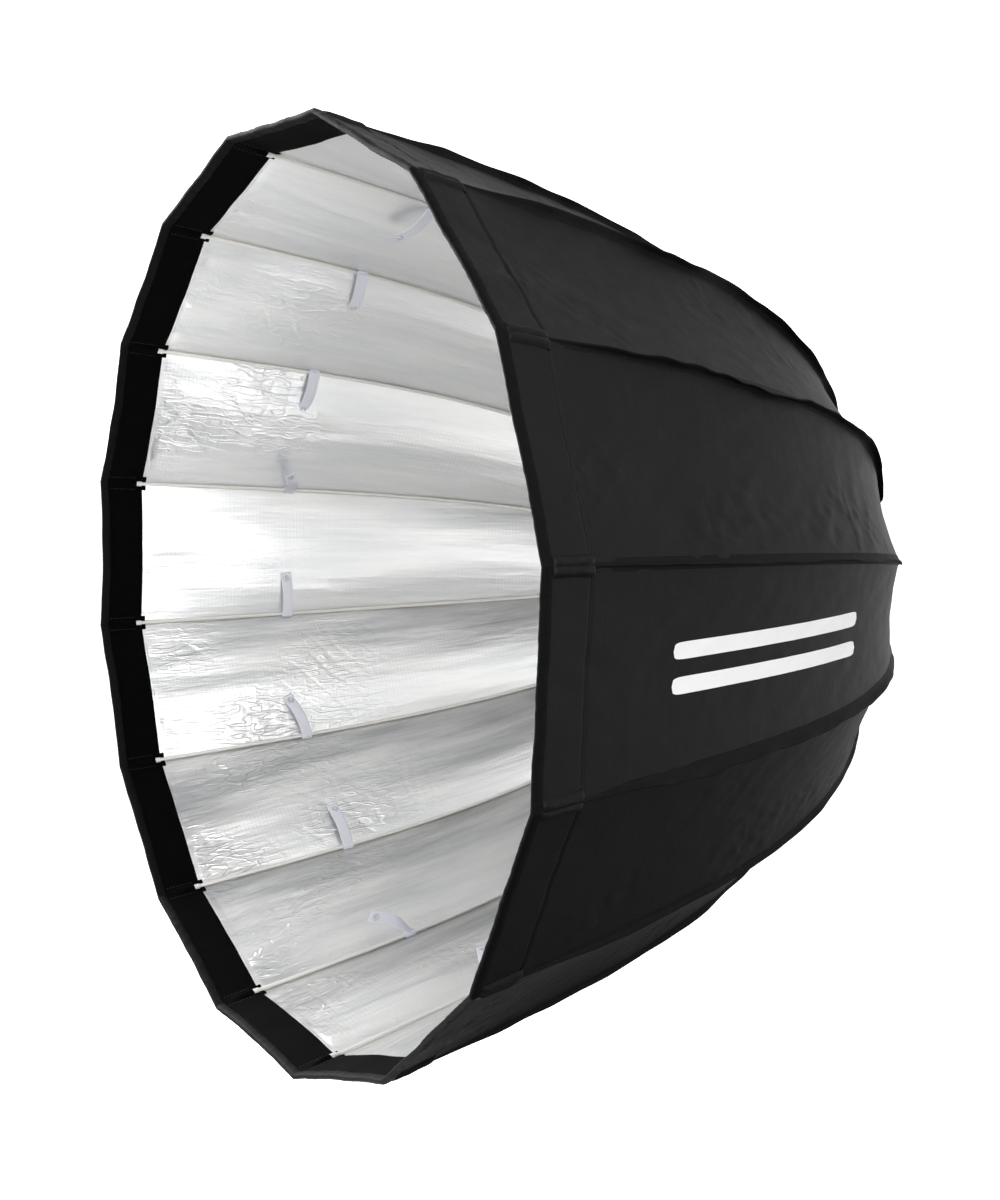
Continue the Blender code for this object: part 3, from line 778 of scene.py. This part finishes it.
def tip_covers():
    """Outside the rim, a doubled patch of shell cloth covers each rod's tip pocket."""
    distance = np.linspace(0.0, 1.0, 34)[:, None]
    across = np.linspace(-1.0, 1.0, 25)[None, :]
    down = COVER_START + (COVER_END - COVER_START) * distance
    rolls = 0.0021 * np.abs(np.sin(math.pi * across)) ** 0.75 * (1 - np.abs(across) ** 6)
    ends = np.sqrt(np.clip(1 - np.abs(2 * distance - 1) ** 8, 0, 1))
    smooth_inset = 0.0004 - (rolls + 0.0011) * ends * np.clip(1.3 - np.abs(across) ** 6, 0, 1)
    sides = COVER_HALF * across * (1 + 0.04 * np.sin(down / 0.006))
    for number in range(1, RIB_COUNT + 1):
        crumple = 0.0004 * noise(across * 2.6, down / 0.010, 760 + number)
        rib_strip(
            f"tip_cover_{number:02d}", number, down[:, 0] / RIB_LENGTH, sides,
            smooth_inset - crumple * ends, NYLON,
        )


def tip_pockets():
    """Inside the rim, the sewn pocket of each rod's end. Its mouth is by the border's edge."""
    distance = np.array([
        *np.linspace(0.0080, POCKET_MOUTH - 0.0006, 18), POCKET_MOUTH, POCKET_MOUTH + 0.0004,
        *np.linspace(0.0420, 0.0525, 8),
    ])[:, None]
    side = np.linspace(-POCKET_HALF, POCKET_HALF, 33)[None, :]
    over_rod = np.cos(np.clip(np.abs(side) / 0.0056, 0, 1) * math.pi / 2) ** 1.2
    rise = 0.0012 + 0.0032 * smooth(distance, 0.012, 0.034)
    inside = 1 - smooth(distance, POCKET_MOUTH - 0.0002, POCKET_MOUTH + 0.0005)
    tube = 0.0036 + rise * over_rod
    patch = 0.0036 - 0.0012 * over_rod
    inset = tube * inside + patch * (1 - inside)
    seam_dip = 0.0005 * np.exp(-((np.abs(side) - POCKET_SEAM) / 0.0007) ** 2)
    edge = 0.0012 * smooth(np.abs(side), 0.0078, POCKET_HALF)
    stitched = np.linspace(0.0095, POCKET_MOUTH - 0.0012, 40) / RIB_LENGTH
    for number in range(1, RIB_COUNT + 1):
        ripple = 0.00018 * noise(side / 0.004, distance / 0.006, 800 + number)
        rib_strip(
            f"tip_pocket_{number:02d}", number, distance[:, 0] / RIB_LENGTH, side,
            inset + ripple - seam_dip - edge, VELVET,
        )
        for edge_name, where in (("left", -POCKET_STITCH), ("right", POCKET_STITCH)):
            line = rib_points(number, stitched, where, 0.0039)
            out = unit(rib_points(number, stitched, where, 0.0139) - line)
            name = f"pocket_stitches_{edge_name}_{number:02d}"
            piece(name, stitch_mesh(name, line, out), POCKET_THREAD, f"rib_{number:02d}")
        rod_cap(number)


def rod_cap(number):
    """The moulded cap on a rod's end, which shows where the rod leaves its pocket."""
    profile = np.array([
        (-0.0080, 0.0), (-0.0080, 0.0018), (-0.0073, 0.0026), (-0.0060, 0.0029), (0.0015, 0.0029),
        (0.0026, 0.0027), (0.0030, 0.0021), (0.0030, 0.0014),
    ]) + [POCKET_MOUTH + 0.0035, 0.0]
    turn = np.linspace(0, 2 * math.pi, 24, endpoint=False)[None, :]
    reach = profile[:, 1:] * np.ones_like(turn)
    share = (profile[:, :1] + 0 * turn) / RIB_LENGTH
    radius, y, lean = curve(share)
    inset = ROD_INSET + reach * np.sin(turn)
    side = reach * np.cos(turn)
    points = round_axis(
        side, radius - inset * np.cos(lean), y - inset * np.sin(lean), rib_angle(number)
    )
    uv = np.stack([turn * 0.003 + 0 * reach, profile[:, :1] + 0 * turn], axis=-1)
    name = f"rod_cap_{number:02d}"
    piece(name, grid_mesh(name, points, uv, closed=True), ROD, f"rib_{number:02d}")


# ---- straps ----
STRAP_WIDTH = 0.0135
STRAP_THICK = 0.0010
STRAP_LENGTH = 0.058
# How each rib's strap lies: (towards the rib before, towards the rim, off the cloth, curl).
STRAP_LIES = {
    1: (-0.3, 0.2, 0.9, 0.2), 2: (-0.8, 0.3, 0.5, 0.3), 3: (-0.94, -0.22, 0.2, 0.25),
    4: (-0.97, 0.05, 0.2, 0.2), 5: (0.55, 0.15, 0.75, 0.55), 6: (0.97, 0.02, 0.24, 0.1),
    7: (0.94, 0.20, 0.23, 0.5), 8: (0.97, 0.02, 0.26, 0.0), 9: (0.30, 0.78, 0.50, -0.2),
    10: (0.75, -0.50, 0.40, 0.1), 11: (0.3, 0.3, 0.8, 0.2), 12: (0.8, 0.3, 0.4, 0.2),
    13: (0.9, 0.1, 0.3, 0.3), 14: (0.9, 0.0, 0.3, 0.1), 15: (0.9, 0.1, 0.3, 0.2),
    16: (0.7, 0.2, 0.6, 0.2),
}
STRAP_TWIST = {9: -0.95}  # how far a strap turns about its length, in radians
SNAP_STEP = -5  # which point along the strap its snap sits at


def rib_frame(number, share):
    """A place on the fold line, and the ways to the rib before, to the rim and off the cloth."""
    here = rib_points(number, share, 0.0, 0.0)
    rimwards = unit(rib_points(number, share - 0.005, 0.0, 0.0) - here)
    inwards = unit(rib_points(number, share, 0.0, 0.01) - here)
    return here, np.cross(rimwards, inwards), rimwards, inwards


def ribbon(name, line, flat_side, width, thick):
    """A flat strap with rounded edges along a line of points. flat_side is across the strap."""
    along = unit(np.gradient(line, axis=0))
    side = unit(flat_side - (flat_side * along).sum(1, keepdims=True) * along)
    up = np.cross(along, side)
    turn = np.linspace(0, 2 * math.pi, 20, endpoint=False)
    x = np.sign(np.cos(turn)) * np.abs(np.cos(turn)) ** 0.35 * width / 2
    z = np.sign(np.sin(turn)) * np.abs(np.sin(turn)) ** 0.9 * thick / 2
    points = line[:, None] + side[:, None] * x[None, :, None] + up[:, None] * z[None, :, None]
    lengths = np.concatenate([[0.0], np.cumsum(np.linalg.norm(np.diff(line, axis=0), axis=1))])
    uv = paired(x[None, :], lengths[:, None])
    start, end = line[:1, None] + 0 * points[:1], line[-1:, None] + 0 * points[:1]
    points = np.concatenate([start, points, end])
    uv = np.concatenate([uv[:1], uv, uv[-1:]])
    return grid_mesh(name, points, uv, closed=True)


def straps():
    """A short webbing strap with a snap at its end hangs from each rib, for an inner diffuser."""
    for number in range(1, RIB_COUNT + 1):
        here, before, rimwards, inwards = rib_frame(number, STRAP_SHARE)
        sideways, forwards, off, curl = STRAP_LIES[number]
        aim = unit(before * sideways + rimwards * forwards + inwards * off)
        share = np.linspace(0, 1, 30)[:, None]
        start = here + inwards * (ROD_INSET + ROD_RADIUS + 0.0012) - aim * 0.004
        line = start + aim * share * STRAP_LENGTH
        line = line + inwards * 0.006 * np.sin(math.pi * np.clip(share * 1.1, 0, 1))
        line = line + rimwards * 0.012 * curl * share**2
        width = unit(np.cross(aim, inwards))
        twist = STRAP_TWIST.get(number, 0.0) * smooth(share, 0.05, 0.45)
        face = width * np.cos(twist) + np.cross(aim, width) * np.sin(twist)
        name = f"strap_{number:02d}"
        mesh = ribbon(name, line, face, STRAP_WIDTH, STRAP_THICK)
        piece(name, mesh, WEBBING, f"rib_{number:02d}")
        snap(number, line, face[SNAP_STEP])
        strap_loop(number)


def snap(number, line, width):
    """The press stud near the strap's free end: a low ring with a dimple."""
    centre = line[SNAP_STEP]
    along = unit(line[SNAP_STEP + 2] - line[SNAP_STEP - 2])
    up = np.cross(width, along)
    profile = [
        (0.0, 0.0009), (0.0013, 0.0009), (0.0018, 0.0017), (0.0030, 0.0019), (0.0039, 0.0014),
        (0.0041, 0.0005), (0.0041, -0.0005), (0.0039, -0.0014), (0.0022, -0.0018), (0.0, -0.0018),
    ]
    turn = np.linspace(0, 2 * math.pi, 28, endpoint=False)
    rows = np.array([
        [centre + (width * math.cos(t) + along * math.sin(t)) * r + up * h for t in turn]
        for r, h in profile
    ])
    uv = paired(turn[None, :] * 0.004, np.arange(len(profile))[:, None] * 0.001)
    name = f"strap_snap_{number:02d}"
    piece(name, grid_mesh(name, rows, uv, closed=True), STUD, f"rib_{number:02d}")


def strap_loop(number):
    """The strap's other end goes once round the rod, where it is sewn to the seam."""
    here, before, rimwards, inwards = rib_frame(number, STRAP_SHARE)
    turn = np.linspace(-0.35 * math.pi, 1.35 * math.pi, 24)
    centre = here + inwards * ROD_INSET
    radius = ROD_RADIUS + 0.0009
    line = np.array([
        centre + before * math.cos(t) * (radius + 0.0012) + inwards * math.sin(t) * radius
        for t in turn
    ])
    name = f"strap_loop_{number:02d}"
    width = np.broadcast_to(rimwards, line.shape)
    mesh = ribbon(name, line, width, STRAP_WIDTH, STRAP_THICK)
    piece(name, mesh, WEBBING, f"rib_{number:02d}")


# ---- print, two plain stripes ----
PRINT_PROUD = 0.00035
STRIPE_MIDDLE = 0.300
STRIPE_LENGTH = 0.300
STRIPE_HALF_WIDTH = 0.007
# Both stripes are alike and run side by side, each this far to its side of the gore's middle.
STRIPE_SHIFTS = (-0.014, 0.014)


def print_stripes():
    """Plain white stripes down one gore, cut where the shell's zones are."""
    count = 0
    for middle in STRIPE_SHIFTS:
        ends = (STRIPE_MIDDLE - STRIPE_LENGTH / 2, STRIPE_MIDDLE + STRIPE_LENGTH / 2)
        edges = [zone[0] * RIB_LENGTH for zone in ZONES]
        cuts = [e for e in edges if ends[0] < e < ends[1]]
        stops = [ends[0], *cuts, ends[1]]
        for first, last in zip(stops, stops[1:]):
            down = np.linspace(first, last, max(3, int((last - first) / 0.0015)))[:, None]
            away = np.clip(np.abs(2 * (down - STRIPE_MIDDLE) / STRIPE_LENGTH), 0, 1)
            half_here = STRIPE_HALF_WIDTH * (1 - away**40) ** (1 / 3)
            share = down / RIB_LENGTH
            side = middle + half_here * np.linspace(-1, 1, 40)[None, :]
            across = side / (curve(share)[0] * math.sin(HALF))
            inset = shell_relief(PRINT_GORE, share, across) - PRINT_PROUD
            points = gore_points(PRINT_GORE, share, across, inset)
            uv = paired(side, down)
            count += 1
            name = f"print_stripe_{count:02d}"
            mesh = grid_mesh(name, points, uv, grid_normals(points, True))
            made = piece(name, mesh, PRINT, f"panel_{PRINT_GORE:02d}")
            narrow(made)


# ---- rear hem ----
REAR_HEM_RADIUS = 0.0936
REAR_HEM_Y = -0.0166
GATHERS = 72


def rear_hem():
    """The elastic hem, gathered round the speed ring."""
    turn = np.linspace(0, 2 * math.pi, 384, endpoint=False)[None, :]
    profile = np.linspace(-0.5 * math.pi, 1.35 * math.pi, 22)[:, None]
    gathers = 0.5 + 0.5 * np.sin(turn * GATHERS + 2.0 * np.sin(turn * 5))
    thick = 0.0022 + 0.0007 * gathers
    radius = REAR_HEM_RADIUS + thick * np.cos(profile)
    y = REAR_HEM_Y - 0.0036 * np.sin(profile) * (1 + 0.10 * gathers)
    points = np.stack(np.broadcast_arrays(radius * np.cos(turn), y, radius * np.sin(turn)), axis=-1)
    uv = paired(turn * 0.095, profile * 0.004)
    mesh = grid_mesh("rear_hem", points, uv, closed=True)
    made = piece("rear_hem", mesh, NYLON, "speed_ring")
    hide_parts("rear_collar")


# ---- the CAD parts ----
FINISHES = {  # by how the node's name begins
    "speed_ring": CAST, "wire_plate": CAST, "hinge_wire": STEEL, "plate_screw": STEEL,
    "bayonet": STEEL, "lock_shank": STEEL, "lock_knob": KNOB, "rib_rod": ROD, "rib_socket": SOCKET,
}


def dress_cad_parts():
    """The parts that keep their CAD shape get a surface."""
    for name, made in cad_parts.items():
        for beginning, surface in FINISHES.items():
            if name.startswith(beginning):
                made.data.materials.clear()
                made.data.materials.append(surface)


# ---- camera, floor and light ----
CAMERA_AZIMUTH = 0.9473
CAMERA_ELEVATION = 0.1391
CAMERA_ROLL = 0.0406
CAMERA_DISTANCE = 1.3293
CAMERA_TARGET = Vector((0.1088, RIM_Y + 0.2023, 0.0093))
CAMERA_LENS = 40.97


def camera():
    data = bpy.data.cameras.new("camera")
    data.sensor_width = 36.0
    data.lens = CAMERA_LENS
    data.clip_start = 0.02
    data.clip_end = 60.0
    made = add_object("camera", data)
    back = Vector((
        math.sin(CAMERA_AZIMUTH) * math.cos(CAMERA_ELEVATION),
        -math.cos(CAMERA_AZIMUTH) * math.cos(CAMERA_ELEVATION), math.sin(CAMERA_ELEVATION),
    ))
    right = (-back).cross(Vector((0, 0, 1))).normalized()
    up = right.cross(-back).normalized()
    x = right * math.cos(CAMERA_ROLL) + up * math.sin(CAMERA_ROLL)
    y = up * math.cos(CAMERA_ROLL) - right * math.sin(CAMERA_ROLL)
    turn = Matrix((x, y, back)).transposed().to_4x4()
    made.matrix_world = Matrix.Translation(CAMERA_TARGET + back * CAMERA_DISTANCE) @ turn
    bpy.context.scene.camera = made


FLOOR_HALF = 30.0
FLOOR_Z = -1.45


def floor():
    """A plain white floor. It only shows: the world below the horizon is what lights the object."""
    data = bpy.data.meshes.new("floor")
    corners = [
        (x * FLOOR_HALF, y * FLOOR_HALF, FLOOR_Z) for x, y in ((-1, -1), (1, -1), (1, 1), (-1, 1))
    ]
    data.from_pydata(corners, [], [(0, 1, 2, 3)])
    made = add_object("floor", data)
    surface, _, shader = new_material("studio_floor", (0.93, 0.93, 0.93), 0.9, 0.0, 0.1)
    shader.inputs["Emission Color"].default_value = (1, 1, 1, 1)
    shader.inputs["Emission Strength"].default_value = 0.85
    data.materials.append(surface)
    made.visible_diffuse = made.visible_glossy = made.visible_shadow = False


# (name, azimuth from straight in front, elevation, distance, (width, height), radiance)
LIGHTS = (
    ("key", -76.0, 24.0, 2.6, (1.4, 2.3), 15.0),
    ("below", -60.0, -66.0, 1.4, (1.3, 0.8), 5.5),
    ("front", -25.0, 13.0, 2.4, (1.5, 1.4), 2.4),
    ("right", 70.0, 10.0, 2.6, (1.4, 1.4), 4.4),
    ("side", 92.0, 50.0, 2.6, (2.2, 1.4), 1.6),
)


def soft_light(name, azimuth, elevation, distance, size, radiance):
    azimuth, elevation = math.radians(azimuth), math.radians(elevation)
    target = Vector((0.0, RIM_Y + 0.25, 0.0))
    away = Vector((
        math.sin(azimuth) * math.cos(elevation), -math.cos(azimuth) * math.cos(elevation),
        math.sin(elevation),
    ))
    data = bpy.data.lights.new(name, "AREA")
    data.shape = "RECTANGLE"
    data.size, data.size_y = size
    data.energy = radiance * math.pi * size[0] * size[1]
    made = add_object(name, data)
    made.location = target + away * distance
    made.rotation_euler = (-away).to_track_quat("-Z", "Y").to_euler()
    made.visible_camera = False


# How bright the studio is on the left and on the right, as (sine of the height, brightness).
STUDIO_LEFT = ((-1.0, 0.1), (-0.6, 0.1), (-0.25, 1.05), (0.0, 2.0), (0.3, 0.84), (1.0, 0.35))
STUDIO_RIGHT = ((-1.0, 0.1), (-0.6, 0.1), (-0.25, 0.35), (0.0, 0.6), (0.3, 0.42), (1.0, 0.35))


WORLD_STRENGTH = 2.0


def by_height(tree, height, brightness):
    ramp = node(tree, "ShaderNodeValToRGB", {0: height})
    stops = ramp.color_ramp.elements
    while len(stops) < len(brightness):
        stops.new(0.5)
    for stop, (height_there, bright) in zip(stops, brightness):
        stop.position = (height_there + 1) / 2
        stop.color = (*[bright / WORLD_STRENGTH] * 3, 1)
    return ramp.outputs[0]


def studio():
    """A world that is graded where it lights the object and white where the camera sees it."""
    world = bpy.data.worlds.new("studio")
    bpy.context.scene.world = world
    world.use_nodes = True
    tree = world.node_tree
    background = tree.nodes["Background"]
    direction = node(tree, "ShaderNodeTexCoord").outputs["Generated"]
    parts = node(tree, "ShaderNodeSeparateXYZ", {0: direction}).outputs
    height, to_right = rescale(tree, parts["Z"], low=-1.0), rescale(tree, parts["X"], low=-1.0)
    left, right = by_height(tree, height, STUDIO_LEFT), by_height(tree, height, STUDIO_RIGHT)
    lit = node(tree, "ShaderNodeMix", {0: to_right, 2: left, 3: right}).outputs[0]
    white = node(tree, "ShaderNodeLightPath").outputs["Is Camera Ray"]
    tree.links.new(maths(tree, "MAXIMUM", lit, white), background.inputs["Color"])
    background.inputs["Strength"].default_value = WORLD_STRENGTH
    for light in LIGHTS:
        soft_light(*light)
    bpy.context.scene.view_settings.view_transform = "Standard"


camera()
studio()
floor()
dress_cad_parts()
cloth()
rim_bands()
hem_stitches()
seams()
tip_covers()
tip_pockets()
straps()
print_stripes()
rear_hem()
